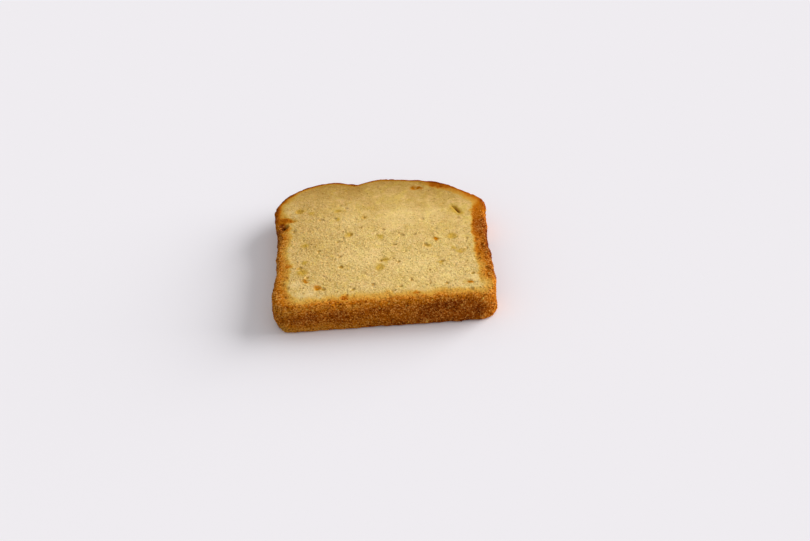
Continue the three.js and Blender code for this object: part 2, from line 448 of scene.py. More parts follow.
sunk = blend(crust_sunk, crumb_sunk, on_cut) + crumbled + dented
skin += inward * (sunk * MM)[:, None]
skin[:, 2] = skin[:, 2].clip(slice_low.z, slice_high.z)
sponge.data.vertices.foreach_set("co", skin.astype(np.float32).ravel())
sponge.data.update()
print("deepest sinking, mm:", round(float(sunk.max()), 2))

# %% [markdown]
# ## Fewer triangles
#
# The sculpted skin has about 420,000 triangles, many of them in places that are nearly flat.
# Decimating it takes them away there and keeps them round the pores. Some of the small squares stay
# whole, so triangles are counted from the corners of each face.

# %% Decimate
MOST_TRIANGLES = 196000


def triangles_in(mesh):
    return sum(len(face.vertices) - 2 for face in mesh.polygons)


triangles_before = triangles_in(sponge.data)
thin_out = sponge.modifiers.new("fewer triangles", "DECIMATE")
thin_out.ratio = MOST_TRIANGLES / triangles_before
apply_modifiers(sponge)
print("triangles:", triangles_before, "->", triangles_in(sponge.data))

# %% [markdown]
# ## Sandy grains and specks of crumb
#
# Close to, the crust is covered in grains about half a millimetre across, and the cut face in
# crumbs that the knife left clinging. They are too fine for the skin's own triangles. They could be
# painted, but real lumps catch the light and roughen the outline as well. So each is a ball of 20
# faces, pulled out of round and partly sunk in the surface, and thousands of them are joined into
# one piece for the crust and one for the crumb. A third piece holds some larger, paler crumbs, which
# the knife dropped on the crust near its edges.

# %% Helpers for scattering
SUNK_SHARE = 0.35          # how deep the middle of a grain lies, as a share of its radius


def ball(rounds):
    """The points and faces of a ball, 1 in radius: 20 triangles in one round, 80 in two."""
    shape = bmesh.new()
    bmesh.ops.create_icosphere(shape, subdivisions=rounds, radius=1)
    points = np.array([vertex.co for vertex in shape.verts])
    faces = np.array([[vertex.index for vertex in face.verts] for face in shape.faces])
    shape.free()
    return points, faces


def random_places(surface, wanted, count, draw):
    """Points spread over the faces of a surface, in step with their area and how wanted they are."""
    mesh = surface.data
    mesh.calc_loop_triangles()
    corners = np.empty(len(mesh.loop_triangles) * 3, np.int32)
    mesh.loop_triangles.foreach_get("vertices", corners)
    triangles = read_vectors(mesh.vertices, "co")[corners.reshape(-1, 3)]
    sides = triangles[:, 1:] - triangles[:, :1]
    normals = np.cross(sides[:, 0], sides[:, 1])
    areas = np.linalg.norm(normals, axis=1)
    normals /= areas[:, None]
    weights = areas * wanted(triangles.mean(axis=1), normals)
    chosen = draw.choice(len(triangles), count, p=weights / weights.sum())
    shares = draw.dirichlet((1, 1, 1), count)
    return np.sum(triangles[chosen] * shares[:, :, None], axis=1), normals[chosen]


def write_attribute(mesh, name, values):
    attribute = mesh.attributes.new(name, "FLOAT", "POINT")
    attribute.data.foreach_set("value", values.astype(np.float32))


def scatter(name, wanted, count, smallest, largest, seed, rounds=1, unevenness=0.5):
    """One piece of many grains (their radius in mm) on the sponge, each with a tint of its own."""
    draw = np.random.default_rng(seed)
    places, normals = random_places(sponge, wanted, count, draw)
    ball_points, ball_faces = ball(rounds)
    radius = blend(smallest, largest, draw.random(count) ** 2) * MM
    widths = 1 + unevenness * (draw.random((count, 3)) - 0.5)
    turns = np.linalg.qr(draw.normal(size=(count, 3, 3)))[0]
    turns *= np.linalg.det(turns)[:, None, None]
    centres = places - normals * (SUNK_SHARE * radius)[:, None]
    shapes = ball_points[None] * (widths * radius[:, None])[:, None]
    points = shapes @ turns + centres[:, None]
    faces = ball_faces[None] + (np.arange(count) * len(ball_points))[:, None, None]
    mesh = bpy.data.meshes.new(name)
    mesh.from_pydata(points.reshape(-1, 3), [], faces.reshape(-1, 3))
    piece = add_object(name, mesh)
    write_attribute(mesh, "own_tint", np.repeat(draw.random(count), len(ball_points)))
    print(name, "has", count, "grains and", len(mesh.polygons), "triangles")
    return piece


# %% [markdown]
# ## Where each kind lies
#
# Grains cover the crust that stood against the tin, not the dome's skin, and gather low down, by the
# board. Specks lie on the upper cut face, more of them in the open crumb than in the close one, and
# none deep down in the pores. The fallen crumbs lie on the crust just below the cut face and just
# above the board. For each kind one function says how wanted it is at a place.

# %% Scatter grains, specks and crumbs
CRUST_BORDER = (0.6, 3.6)  # mm below the crust, where its grains begin to thin out and where they end
MORE_BY_BOARD = 1.5        # how many extra grains lie by the board for each one elsewhere
CRUMB_BORDER = (2.0, 5.0)  # mm below the crust, where specks begin and where they are all there
UPRIGHT = 0.5              # how much of a face's normal points up where it counts as level
SPECK_DEPTH = 1.5 * MM     # no speck lies deeper in a pore than this
PORE_START = (0.2, 0.6)    # mm below the cut face, where specks begin to thin out and where they end
FEWER_IN_CLOSE = 0.75      # the share of specks that the close crumb lacks
BELOW_CUT = 4              # how far below the cut face fallen crumbs reach, mm
ABOVE_BOARD, ABOVE_BOARD_SPREAD, LOWEST = 1.8, 1.2, 1.2    # mm


def wanted_on_crust(places, normals):
    off_cut = 1 - smoothstep(*CRUST_BORDER, depth_below_crust(places))
    off_dome = 1 - on_dome_skin(places)
    above_board = places[:, 2] - slice_low.z
    by_board = 1 + MORE_BY_BOARD * bell(above_board, 0, LOWER_EDGE)
    return off_cut * off_dome * by_board * (above_board > LOWER_EDGE / 2)


def wanted_on_crumb(places, normals):
    out_of_pores = 1 - smoothstep(*PORE_START, depth_below_cut(places))
    on_top = (normals[:, 2] > UPRIGHT) & (places[:, 2] > slice_high.z - SPECK_DEPTH)
    off_edge = smoothstep(*CRUMB_BORDER, depth_below_crust(places))
    open_crumb = 1 - FEWER_IN_CLOSE * density(places)
    return on_top * off_edge * open_crumb * out_of_pores


def wanted_by_edges(places, normals):
    below_top = (slice_high.z - places[:, 2]) / MM
    above_board = (places[:, 2] - slice_low.z) / MM
    by_edge = bell(below_top, 0, BELOW_CUT) + bell(above_board, ABOVE_BOARD, ABOVE_BOARD_SPREAD)
    return wanted_on_crust(places, normals) * by_edge * (above_board > LOWEST)


crust_grains = scatter("crust_grains", wanted_on_crust, 9800, 0.18, 0.42, seed=51)
crumb_specks = scatter("crumb_specks", wanted_on_crumb, 6400, 0.15, 0.42, seed=52)
fallen_crumbs = scatter(
    "fallen_crumbs", wanted_by_edges, 150, 0.2, 0.5, seed=53, rounds=2, unevenness=1.1)

# %% [markdown]
# ## How brown every point is
#
# The crust isn't the same all round. The tin browned the right wall hard, in a band with a crisp
# inner border. The base and the left wall fade softly into the crumb. The dome, which only hot air
# reached, has a thin skin, thicker where it leans over the tin's rim. A few places on the outline
# say so, and every point takes a blend of what the places near it say.

# %% What the crust is like along the outline
CRUST_PLACES = {           # (x, y) mm: (reach mm, brown at the edge, brown outside, crispness)
    (0, -48): (9.2, 0.72, 0.80, 0.0),
    (-15, -48): (10.0, 0.72, 0.79, 0.0),
    (-32, -48): (8.4, 0.71, 0.75, 0.0),
    (20, -48): (8.4, 0.70, 0.84, 0.1),
    (36, -48): (6.8, 0.67, 0.84, 0.3),
    (-47, -44): (9.6, 0.77, 0.76, 0.8),
    (48, -44): (7.0, 0.55, 0.69, 0.2),
    (-47.5, -24): (7.4, 0.80, 0.72, 0.5),
    (-47.5, -6): (6.3, 0.81, 0.72, 0.4),
    (-49, 7): (6.3, 0.83, 0.76, 0.4),
    (-50.5, 15): (8.0, 0.84, 0.78, 0.4),
    (-51, 23): (6.8, 0.94, 0.86, 0.1),
    (-48, 34): (7.2, 0.88, 0.90, 0.0),
    (-36, 43): (5.6, 0.76, 0.84, 0.0),
    (-20, 47): (4.8, 0.66, 0.80, 0.0),
    (0, 47): (3.6, 0.46, 0.76, 0.0),
    (12, 46): (3.8, 0.46, 0.76, 0.0),
    (20, 44.5): (5.2, 0.46, 0.76, 0.2),
    (28, 41): (6.6, 0.60, 0.80, 0.8),
    (37, 36): (6.4, 0.74, 0.86, 0.4),
    (46, 26): (8.0, 0.80, 0.84, 0.3),
    (49.5, 14): (7.8, 0.72, 0.84, 1.0),
    (48.5, 2): (7.4, 0.88, 1.0, 1.0),
    (48, -12): (7.6, 0.92, 1.0, 0.6),
    (48, -30): (7.8, 0.84, 0.98, 0.4),
}


def crust_at(points):
    """Reach, both brownnesses and crispness at each point, mostly from the nearest places."""
    total = np.zeros((len(points), 4))
    weights = np.zeros((len(points), 1))
    for place, crust in CRUST_PLACES.items():
        away = np.linalg.norm(points[:, :2] / MM - place, axis=1, keepdims=True)
        weight = 1 / (away ** 4 + 1)
        total += weight * crust
        weights += weight
    return (total / weights).T


base_middle = np.array([[0, slice_low.y, 0]])
print("crust in the middle of the base:", crust_at(base_middle)[:, 0].round(2).tolist())

# %% [markdown]
# ## Spots and patches
#
# A cut face is never one colour. Round a hole or a lump the crumb browned more, some of it stayed
# moist and olive, some dried pale. A patch could be painted as an image, but a place and a width
# are enough: soft noise bends each spot's border, so that none of them is round.

# %% List the spots
BAKED_SPOTS = {            # crumb that browned round a hole or a lump, (x, y) mm: how wide, mm
    (25.4, -5.8): 2.2,
    (-33.0, -30.3): 2.4,
    (-27.6, -35.6): 3.2,
    (-15.6, -43.4): 3.4,
    (38.2, -38.3): 1.8,
    (16.6, 36.9): 3.4,
    (19.6, 36.9): 3.0,
}
SCORCHED_SPOTS = {         # crust that browned more than the rest, (x, y) mm: (how wide, how brown)
    (-45.4, 11.2): (7.0, 0.88),
    (-46.0, 13.2): (5.0, 0.92),
    (-47.4, 9.0): (7.0, 0.87),
    (-43.6, 10.2): (5.0, 0.66),
    (-48.4, 5.4): (6.0, 0.85),
    (-45.2, 17.0): (5.6, 0.76),
    (-42.8, 16.4): (4.0, 0.68),
    (-40.6, 15.6): (2.8, 0.58),
    (-41.6, -18.8): (4.4, 0.62),
    (-15.6, -43.6): (4.4, 0.70),
    (14.9, -43.1): (3.4, 0.62),
    (26.8, 38.9): (4.8, 0.66),
    (30.0, 37.4): (5.0, 0.67),
    (33.0, 35.8): (4.4, 0.58),
}
MOIST_SPOTS = {            # crumb that stayed moist and olive
    (-38.2, 23.7): 3.6,
    (-14.2, 2.0): 3.8,
    (-19.6, 14.7): 3.0,
    (-32.6, 21.1): 2.6,
    (-34.3, -3.7): 3.0,
    (-33.7, -16.5): 3.0,
    (0.0, -1.0): 3.6,
    (35.0, 17.8): 4.0,
    (36.4, 15.2): 4.0,
    (37.9, 12.8): 3.4,
    (32.5, -4.4): 4.6,
    (22.2, -10.5): 2.4,
    (35.4, -16.4): 3.4,
    (33.0, -13.6): 2.6,
    (-0.3, -24.0): 4.6,
    (-34.6, -23.9): 5.0,
    (-16.2, 39.0): 2.0,
    (2.0, -18.7): 3.4,
    (-19.9, 21.8): 2.2,
    (26.6, -22.9): 3.0,
}
CHALKY_SPOTS = {           # crumb that dried nearly white
    (-36.4, -31.8): 5.0,
    (-30.9, -39.3): 5.0,
    (-26.0, -43.2): 5.0,
    (-35.1, -40.2): 5.0,
    (-42.4, 24.0): 3.0,
    (-40.6, 20.6): 3.4,
}
PALE_SPOTS = {             # crumb that is paler than the rest
    (10.0, 14.0): 17.0,
    (24.0, 13.0): 12.0,
    (-15.0, 13.0): 11.0,
    (-8.2, -15.9): 15.0,
    (17.3, -23.3): 16.0,
    (-30.1, -36.0): 9.0,
    (-36.4, -31.8): 6.0,
    (30.0, -31.5): 9.0,
    (40.3, -36.4): 6.0,
    (-41.5, 27.0): 6.0,
}
SHADED_SPOTS = {           # crumb that stayed denser and darker
    (-31.0, -3.6): 12.0,
    (-22.7, -10.4): 10.0,
    (-13.2, 35.5): 12.0,
    (-37.1, 6.0): 9.0,
    (24.1, 30.0): 12.0,
    (-3.0, 23.0): 9.0,
}
SPOT_WANDER, SPOT_WANDER_SIZE = 0.9, 1.3   # how far and how finely a spot's border wanders, mm
SPOT_MIDDLE = 0.15         # the share of a spot's width up to which it is even
BAKED_MIDDLE = 0.25        # the same for a baked spot, which has a crisper border
SPOT_END = 0.75            # and the share where it has faded out


def spot_share(points, spots, even_share=SPOT_MIDDLE):
    """1 in the even middle of a spot on the upper face, fading to 0 past its uneven border."""
    wander = np.column_stack([soft_noise(points, SPOT_WANDER_SIZE, seed) for seed in (61, 62)])
    places = points[:, :2] / MM + SPOT_WANDER * wander
    share = np.zeros(len(points))
    for place, width in spots.items():
        away = np.linalg.norm(places - place, axis=1)
        share = np.maximum(share, 1 - smoothstep(even_share * width, SPOT_END * width, away))
    return share * (points[:, 2] > (slice_low.z + slice_high.z) / 2)


print("spots:", len(BAKED_SPOTS), "baked,", len(SCORCHED_SPOTS), "scorched,", len(MOIST_SPOTS), "moist")

# %% [markdown]
# ## Browning
#
# Browning is one number, from 0 for crumb to 1 for the darkest crust. On a cut face it fades inwards
# from the crust, softly or with a crisp border. On the outside it is patchy, and a little paler low
# down on the left half of the base crust and on the right wall: painted light against the shade by
# the board. The edge between the two is golden, because it was rubbed: there the outer brown only
# sets in some way below the cut face.

# %% Work out the browning
BORDER_WOBBLE = ((0.14, 3.0, 63), (0.08, 1.1, 64))     # (how much, size mm, seed)
WOBBLE_FROM = 2            # mm below the crust where the border wobbles in full
CRISP_FADE = 0.1           # how much a crisp band pales up to its border
CRISP_BORDER = (0.72, 1.02)        # where that border is, as shares of the reach
SOFT_FADE = 1.3            # the power by which a soft band fades
EDGE_WANDER, EDGE_WANDER_SIZE = 0.7, 2.0       # mm
RIGHT_EDGE = (0.0, 3.2)    # mm below the cut face, from where to where the outer brown sets in
LEFT_EDGE = (0.2, 4.0)
DOME_EDGE = (-1.2, 0.4)
LEFT_PART = (40 * MM, 0 * MM)      # along X, where the left edge's wear begins and is whole
TIN_SKIN = (0.5, 1.4)      # mm inwards, from where to where the outer brown ends
DOME_SKIN = (1.5, 3.0)
PATCHINESS = 0.1
PATCH_SIZE, DOME_PATCH_SIZE = 6.0, 2.2         # mm
RUBBED, RUBBED_AT, RUBBED_WIDTH = 0.17, 2, 1.6     # how much paler; mm below the cut face
# painted light: the outer brown pales towards the foot of the crust, against the shade by the board
BASE_FOOT_LIGHT = 0.25
BASE_FOOT = (8, 12)        # mm below the cut face
BASE_FOOT_ACROSS = (10 * MM, -30 * MM)         # along X
WALL_FOOT_LIGHT = 0.07
WALL_FOOT = (1.5, 5)       # mm below the cut face
RIGHT_WALL = (44 * MM, 47 * MM)    # along X
RIGHT_WALL_ALONG = (-46 * MM, -36 * MM)        # along Y


def brown_of_face(points, depth, reach, edge_brown, crispness):
    """Browning of a cut face, which fades from the crust into the crumb."""
    wobble = sum(much * soft_noise(points, size, seed) for much, size, seed in BORDER_WOBBLE)
    share = (depth / reach + wobble * smoothstep(0, WOBBLE_FROM, depth)).clip(0)
    crisp = (1 - CRISP_FADE * share) * (1 - smoothstep(*CRISP_BORDER, share))
    soft = (1 - share).clip(0) ** SOFT_FADE
    return edge_brown * blend(soft, crisp, crispness)


def painted_light_at_foot(points, below_top):
    """How much the outer brown pales at the crust's foot: painted light against the board's shade."""
    on_base = smoothstep(*BASE_FOOT_ACROSS, points[:, 0])
    on_right_wall = smoothstep(*RIGHT_WALL, points[:, 0]) * smoothstep(*RIGHT_WALL_ALONG, points[:, 1])
    base_foot = BASE_FOOT_LIGHT * smoothstep(*BASE_FOOT, below_top) * on_base
    return base_foot + WALL_FOOT_LIGHT * smoothstep(*WALL_FOOT, below_top) * on_right_wall


def browning(points):
    """0 for crumb, up to 1 for the darkest crust."""
    depth = depth_below_crust(points)
    reach, edge_brown, outside_brown, crispness = crust_at(points)
    on_face = brown_of_face(points, depth, reach, edge_brown, crispness)
    below_top = (slice_high.z - points[:, 2]) / MM
    below_top = below_top + EDGE_WANDER * soft_noise(points, EDGE_WANDER_SIZE, 65)
    on_dome = on_dome_skin(points)
    on_left = smoothstep(*LEFT_PART, points[:, 0])
    edge_start, edge_end = (
        blend(blend(right, left, on_left), dome, on_dome)
        for right, left, dome in zip(RIGHT_EDGE, LEFT_EDGE, DOME_EDGE)
    )
    skin_start, skin_end = (blend(tin, dome, on_dome) for tin, dome in zip(TIN_SKIN, DOME_SKIN))
    beside = 1 - smoothstep(skin_start, skin_end, depth)
    patchy = PATCHINESS * soft_noise(points, PATCH_SIZE, 66)
    patchy += PATCHINESS * on_dome * soft_noise(points, DOME_PATCH_SIZE, 67)
    outside = outside_brown + patchy - painted_light_at_foot(points, below_top)
    rubbed = RUBBED * bell(below_top, RUBBED_AT, RUBBED_WIDTH) * beside * (1 - on_dome) * on_left
    brown = blend(on_face, outside, beside * smoothstep(edge_start, edge_end, below_top)) - rubbed
    for spot, (width, spot_brown) in SCORCHED_SPOTS.items():
        brown = np.maximum(brown, spot_brown * spot_share(points, {spot: width}))
    return brown.clip(0, 1)


# %% [markdown]
# ## What the colours need to know
#
# The material paints by place: how browned the crust is there, how far a point lies below the cut
# face or from an air hole, and whether it is in one of the patches. Broader changes come on top: the
# crumb is dusky under the dome's skin and painted darker towards the left, a painted shade away from
# the lamp, and the crust gets a cool painted shade on the left and low down. Each is worked out for
# every point and written on the mesh as an attribute, which the shader reads by name. Grains get the
# same attributes as the surface that they sit on, so that all the pieces share one material. Only the
# fallen crumbs keep their own paler browning, since they come from inside the loaf.

# %% Write the attributes
SANDY_FROM, SANDY_TO, LESS_SANDY = 1, 6, 0.75      # mm below the crust, and what is left of the grain
SANDY_ON_DOME = 0.4        # the share of the grain's contrast that the dome's skin has
HOLE_BORDER = (0.2, 1.1)   # mm from an air hole's wall
DUSK_REACH = 11.0          # mm
DUSK_ALONG = (0 * MM, 30 * MM)     # along Y
DUSK_ACROSS = (54 * MM, 26 * MM)   # to both sides along X
# painted shade: the crumb darkens towards the left, away from the lamp
LEFT_SHADE_ACROSS = (5 * MM, -45 * MM)        # along X, as the other places across are
# painted shade: the crust cool and dull on the left wall, which lies in the shade, and low down
COOL_SHADE_ACROSS = (-28 * MM, -49 * MM)
COOL_SHADE_LOW = 0.5             # how strong the painted shade is low down, compared with the left wall
COOL_SHADE_LOW_HEIGHT = (9 * MM, 3 * MM)
COOL_SHADE_LOW_ACROSS = (20 * MM, -10 * MM)
FALLEN_BROWN, FALLEN_SPREAD = 0.2, 0.36        # browning of the palest fallen crumb, and the range
MEAN_TINT = 0.5            # the sponge has the mean of the grains' own tints, which go from 0 to 1


def dome_dusk(points):
    """How much the crumb dulls towards the top of the dome, from 1 right under its skin."""
    near_dome = smoothstep(*DUSK_ALONG, points[:, 1])
    near_middle = smoothstep(*DUSK_ACROSS, np.abs(points[:, 0]))
    return np.exp(-depth_below_crust(points) / DUSK_REACH) * near_dome * near_middle


def places_of(points):
    """All that the material asks of each point, by the names of its attributes."""
    across = points[:, 0]
    depth = depth_below_crust(points)
    on_face = smoothstep(CUT_START, CUT_FULL, depth)
    sandy = blend(1, LESS_SANDY, smoothstep(SANDY_FROM, SANDY_TO, depth))
    by_hole = 1 - smoothstep(*HOLE_BORDER, away_from(air_holes, points))
    low_left = smoothstep(*COOL_SHADE_LOW_HEIGHT, points[:, 2]) * smoothstep(*COOL_SHADE_LOW_ACROSS, across)
    return {
        "browning": browning(points),
        "sandy": sandy * blend(1, SANDY_ON_DOME, on_dome_skin(points)),
        "pit": depth_below_cut(points) * on_face,
        "hole": by_hole * on_face,
        "baked": spot_share(points, BAKED_SPOTS, BAKED_MIDDLE),
        "moist": spot_share(points, MOIST_SPOTS),
        "pale": spot_share(points, PALE_SPOTS),
        "chalky": spot_share(points, CHALKY_SPOTS),
        "shaded": spot_share(points, SHADED_SPOTS),
        "dusk": dome_dusk(points),
        "dense": density(points),
        # painted shade towards the left, away from the lamp
        "left_shade": smoothstep(*LEFT_SHADE_ACROSS, across),
        "cool_shade": np.maximum(COOL_SHADE_LOW * low_left, smoothstep(*COOL_SHADE_ACROSS, across)),
    }


write_attribute(sponge.data, "own_tint", np.full(len(sponge.data.vertices), MEAN_TINT))
for piece in (sponge, crust_grains, crumb_specks, fallen_crumbs):
    for name, values in places_of(read_vectors(piece.data.vertices, "co")).items():
        write_attribute(piece.data, name, values)
tints = np.empty(len(fallen_crumbs.data.vertices), np.float32)
fallen_crumbs.data.attributes["own_tint"].data.foreach_get("value", tints)
fallen_brown = FALLEN_BROWN + FALLEN_SPREAD * tints
fallen_crumbs.data.attributes["browning"].data.foreach_set("value", fallen_brown)
print("attributes:", [a.name for a in sponge.data.attributes if a.data_type == "FLOAT"])

# %% [markdown]
# ## Colours by number
#
# Colours are easiest to read off a picture as 0 to 255, but shaders work in linear light, so one
# small function turns one into the other. Another adds a node and fills its sockets, with numbers
# or with the outputs of other nodes, so that a shader reads from top to bottom like a recipe.

# %% Helpers for materials


def colour(red, green, blue):
    def linear(value):
        share = value / 255
        return share / 12.92 if share <= 0.04045 else ((share + 0.055) / 1.055) ** 2.4
    return (linear(red), linear(green), linear(blue), 1.0)


def add_node(tree, kind, inputs=None, **settings):
    made = tree.nodes.new(kind)
    for name, value in settings.items():
        setattr(made, name, value)
    for name, value in (inputs or {}).items():
        if isinstance(value, bpy.types.NodeSocket):
            tree.links.new(value, made.inputs[name])
        else:
            made.inputs[name].default_value = value
    return made


def attribute(tree, name):
    return add_node(tree, "ShaderNodeAttribute", attribute_name=name).outputs["Fac"]


def maths(tree, operation, *values, clamp=False):
    made = add_node(tree, "ShaderNodeMath", dict(enumerate(values)), operation=operation)
    made.use_clamp = clamp
    return made.outputs["Value"]


def times(tree, first, *others):
    """The product of several shares."""
    for other in others:
        first = maths(tree, "MULTIPLY", first, other)
    return first


def ease(tree, value, low, high, start=0.0, end=1.0):
    sockets = {"Value": value, "From Min": low, "From Max": high, "To Min": start, "To Max": end}
    made = add_node(tree, "ShaderNodeMapRange", sockets, interpolation_type="SMOOTHSTEP")
    return made.outputs["Result"]


def mixed(tree, share, first, second, way="MIX"):
    made = add_node(tree, "ShaderNodeMix", {0: share, 6: first, 7: second}, data_type="RGBA")
    made.blend_type = way
    return made.outputs[2]


def noise(tree, place, size, detail=2.0, roughness=0.6, distortion=0.0):
    """Soft noise with bumps about a size (mm) across."""
    sockets = {"Vector": place, "Scale": 1 / (size * MM), "Detail": detail, "Roughness": roughness,
               "Distortion": distortion}
    return add_node(tree, "ShaderNodeTexNoise", sockets).outputs["Fac"]


def patches(tree, place, size, low, high, distortion=0.0):
    """Soft noise turned into patches: 0 where it is below the low value, 1 above the high one."""
    return ease(tree, noise(tree, place, size, distortion=distortion), low, high)


def cell_tint(tree, place, size):
    """One random value for each cell about a size (mm) across."""
    cells = add_node(tree, "ShaderNodeTexVoronoi", {"Vector": place, "Scale": 1 / (size * MM)})
    split = add_node(tree, "ShaderNodeSeparateColor", {"Color": cells.outputs["Color"]})
    return split.outputs["Red"]


def ramp(tree, share, stops):
    made = add_node(tree, "ShaderNodeValToRGB", {"Fac": share})
    elements = made.color_ramp.elements
    while len(elements) < len(stops):
        elements.new(0.5)
    for element, (position, shade) in zip(elements, stops):
        element.position = position
        element.color = shade
    return made.outputs["Color"]


# %% [markdown]
# ## The colour of the crumb
#
# Crumb is pale yellow, mottled at every scale: broad rosy and yellow patches, darker clouds, lumps a
# millimetre across and specks finer still. All that gets weaker in the close crumb by the dome. Down
# in its pores, round its air holes and along the short winding tears that the knife left it is
# painted darker and more golden: partly the olive of moist crumb, partly painted shade, warmed as by
# light that has bounced about between yellow walls. One coat is painted over another, each where a
# pattern or an attribute says, so a table of coats is the whole recipe.

# %% Paint the crumb
CRUMB = colour(232, 196, 120)
CRUMB_PALE = colour(250, 219, 147)
CRUMB_SHADE = colour(195, 157, 81)
CRUMB_ROSY = colour(232, 190, 128)
CRUMB_YELLOW = colour(223, 191, 96)
CRUMB_CHALKY = colour(247, 220, 156)
DENSE_TINT = colour(219, 206, 164)         # tints multiply the colour that they are laid over
# painted shade for the crumb's left side, away from the lamp
LEFT_SHADE_TINT = colour(205, 184, 148)
# partly the olive of the pores, partly painted shade warmed by bounced light; also for hole rims and
# tears
PORE_AND_SHADE = colour(206, 161, 62)
DEEP_PORE_AND_SHADE = colour(152, 100, 10)
MOIST = colour(194, 155, 50)
BAKED = colour(190, 116, 0)
CLOUDS = {"size": 5.0, "low": 0.38, "high": 0.62, "distortion": 1.0}
MOTTLE = {"size": 2.7, "low": 0.4, "high": 0.68, "distortion": 0.8}
SPECKS = {"size": 0.65, "low": 0.3, "high": 0.7, "distortion": 1.0}
TORN_PATCHES = {"size": 3.4, "low": 0.5, "high": 0.62}
TEARS = {"size": 2.6, "detail": 1.0, "distortion": 1.6}
HUES = {"size": 6.5, "distortion": 0.5}
YELLOW = (0.5, 0.62, 0.0, 0.9)     # from and to which value of the hue noise, and how strongly there
ROSY = (0.38, 0.5, 0.9, 0.0)
NOISE_MEAN = 0.5
TEAR_WIDTH = 0.03          # as a value of the noise, which is at its mean along a tear
LUMP_SIZE = 1.1            # mm
OWN_TINT_SHARE = 0.8       # how much a speck's own tint changes its colour
FINER_IN_CLOSE, COARSER_ON_LEFT = 0.6, 0.3     # how the mottling's strength changes
PORE_PIT, DEEP_PIT = (0.45, 0.9), (0.9, 1.7)   # mm below the cut face
PORE_STRENGTH = 0.95

cake = bpy.data.materials.new("cake")
cake.use_nodes = True
tree = cake.node_tree
tree.nodes.clear()
place = add_node(tree, "ShaderNodeTexCoord").outputs["Object"]
own_tint = attribute(tree, "own_tint")
left_shade = attribute(tree, "left_shade")
finely = maths(tree, "MULTIPLY_ADD", attribute(tree, "dense"), -FINER_IN_CLOSE, 1.0)
finely = maths(tree, "MULTIPLY_ADD", left_shade, COARSER_ON_LEFT, finely)

hue = noise(tree, place, **HUES)
clouds = patches(tree, place, **CLOUDS)
mottle = patches(tree, place, **MOTTLE)
speck = patches(tree, place, **SPECKS)
torn_here = patches(tree, place, **TORN_PATCHES)
lump = cell_tint(tree, place, LUMP_SIZE)
off_mean = maths(tree, "SUBTRACT", own_tint, MEAN_TINT)
speck_tint = maths(tree, "MULTIPLY_ADD", off_mean, OWN_TINT_SHARE, speck, clamp=True)
off_tear = maths(tree, "SUBTRACT", noise(tree, place, **TEARS), NOISE_MEAN)
tear = ease(tree, maths(tree, "ABSOLUTE", off_tear), 0.0, TEAR_WIDTH, 1.0, 0.0)

crumb = mixed(tree, ease(tree, hue, *YELLOW), CRUMB, CRUMB_YELLOW)
crumb = mixed(tree, ease(tree, hue, *ROSY), crumb, CRUMB_ROSY)
CRUMB_COATS = (            # (where, how strongly, with what, how it is mixed in)
    (clouds, 0.7, CRUMB_SHADE, "MIX"),
    (mottle, 0.84, CRUMB_SHADE, "MIX"),
    (times(tree, lump, finely), 0.36, CRUMB_SHADE, "MIX"),
    (times(tree, speck_tint, finely), 0.75, CRUMB_PALE, "MIX"),
    (attribute(tree, "pale"), 0.35, CRUMB_PALE, "MIX"),
    (attribute(tree, "chalky"), 0.75, CRUMB_CHALKY, "MIX"),
    (attribute(tree, "shaded"), 0.25, DENSE_TINT, "MULTIPLY"),
    # painted shade: the crumb darker towards the left, away from the lamp
    (left_shade, 0.4, LEFT_SHADE_TINT, "MULTIPLY"),
    (attribute(tree, "moist"), 0.8, MOIST, "MIX"),
    # painted shade round the air holes, partly the olive of moist crumb
    (attribute(tree, "hole"), 0.45, PORE_AND_SHADE, "MIX"),
    (times(tree, tear, torn_here), 0.6, PORE_AND_SHADE, "MIX"),
)
for share, strength, paint, way in CRUMB_COATS:
    crumb = mixed(tree, times(tree, share, strength), crumb, paint, way)
pit = attribute(tree, "pit")
# painted shade down in the pores and air holes, darker the deeper they go
crumb = mixed(tree, ease(tree, pit, *PORE_PIT, 0.0, PORE_STRENGTH), crumb, PORE_AND_SHADE)
crumb = mixed(tree, ease(tree, pit, *DEEP_PIT), crumb, DEEP_PORE_AND_SHADE)
crumb = mixed(tree, attribute(tree, "baked"), crumb, BAKED)
print("nodes for the crumb:", len(tree.nodes))

# %% [markdown]
# ## The colour of the crust
#
# Crust goes from gold through orange brown to deep brown as its browning rises, so one colour ramp
# gives its hue. Each of its grains took the heat differently: some are paler than the ramp says and
# some darker, and both stand out less where the crust is darkest. The left wall, which lies in the
# shade, and the lower part of the base crust get a cool painted shade, duller and less red.

# %% Paint the crust
CRUST_STOPS = (            # (browning, colour)
    (0.0, colour(222, 182, 100)),
    (0.2, colour(221, 175, 84)),
    (0.4, colour(216, 157, 60)),
    (0.6, colour(197, 113, 12)),
    (0.8, colour(164, 83, 4)),
    (0.92, colour(119, 44, 0)),
    (1.0, colour(88, 25, 0)),
)
PALE_GRAIN = colour(244, 172, 84)
DARK_GRAIN_TINT = colour(134, 68, 10)
# painted shade, laid over the crust on the left wall and low down
COOL_SHADE_TINT = colour(214, 232, 255)
COOL_SHADE_STRENGTH = 0.55
GRAIN_SIZE = 0.5           # mm
CLUMPS = {"size": 1.8, "detail": 1.0}
CLUMPING = (0.3, 0.7, -0.12, 0.12)     # values of the clumps' noise, and how they tint whole clumps
GRAINY_FROM, GRAINY_TO = 0.08, 0.5     # browning where grains begin to show and show in full
STRONG_GRAIN = 0.8         # how far a tint is off the mean where a grain shows most
PALE_GRAINS, DARK_GRAINS = 0.8, 1.0    # how strongly such grains show
PALE_ON_DARK = (0.8, 1.0, 1.0, 0.4)    # from and to which browning, and the shares that stay there
DARK_ON_DARK = (0.84, 1.0, 1.0, 0.3)

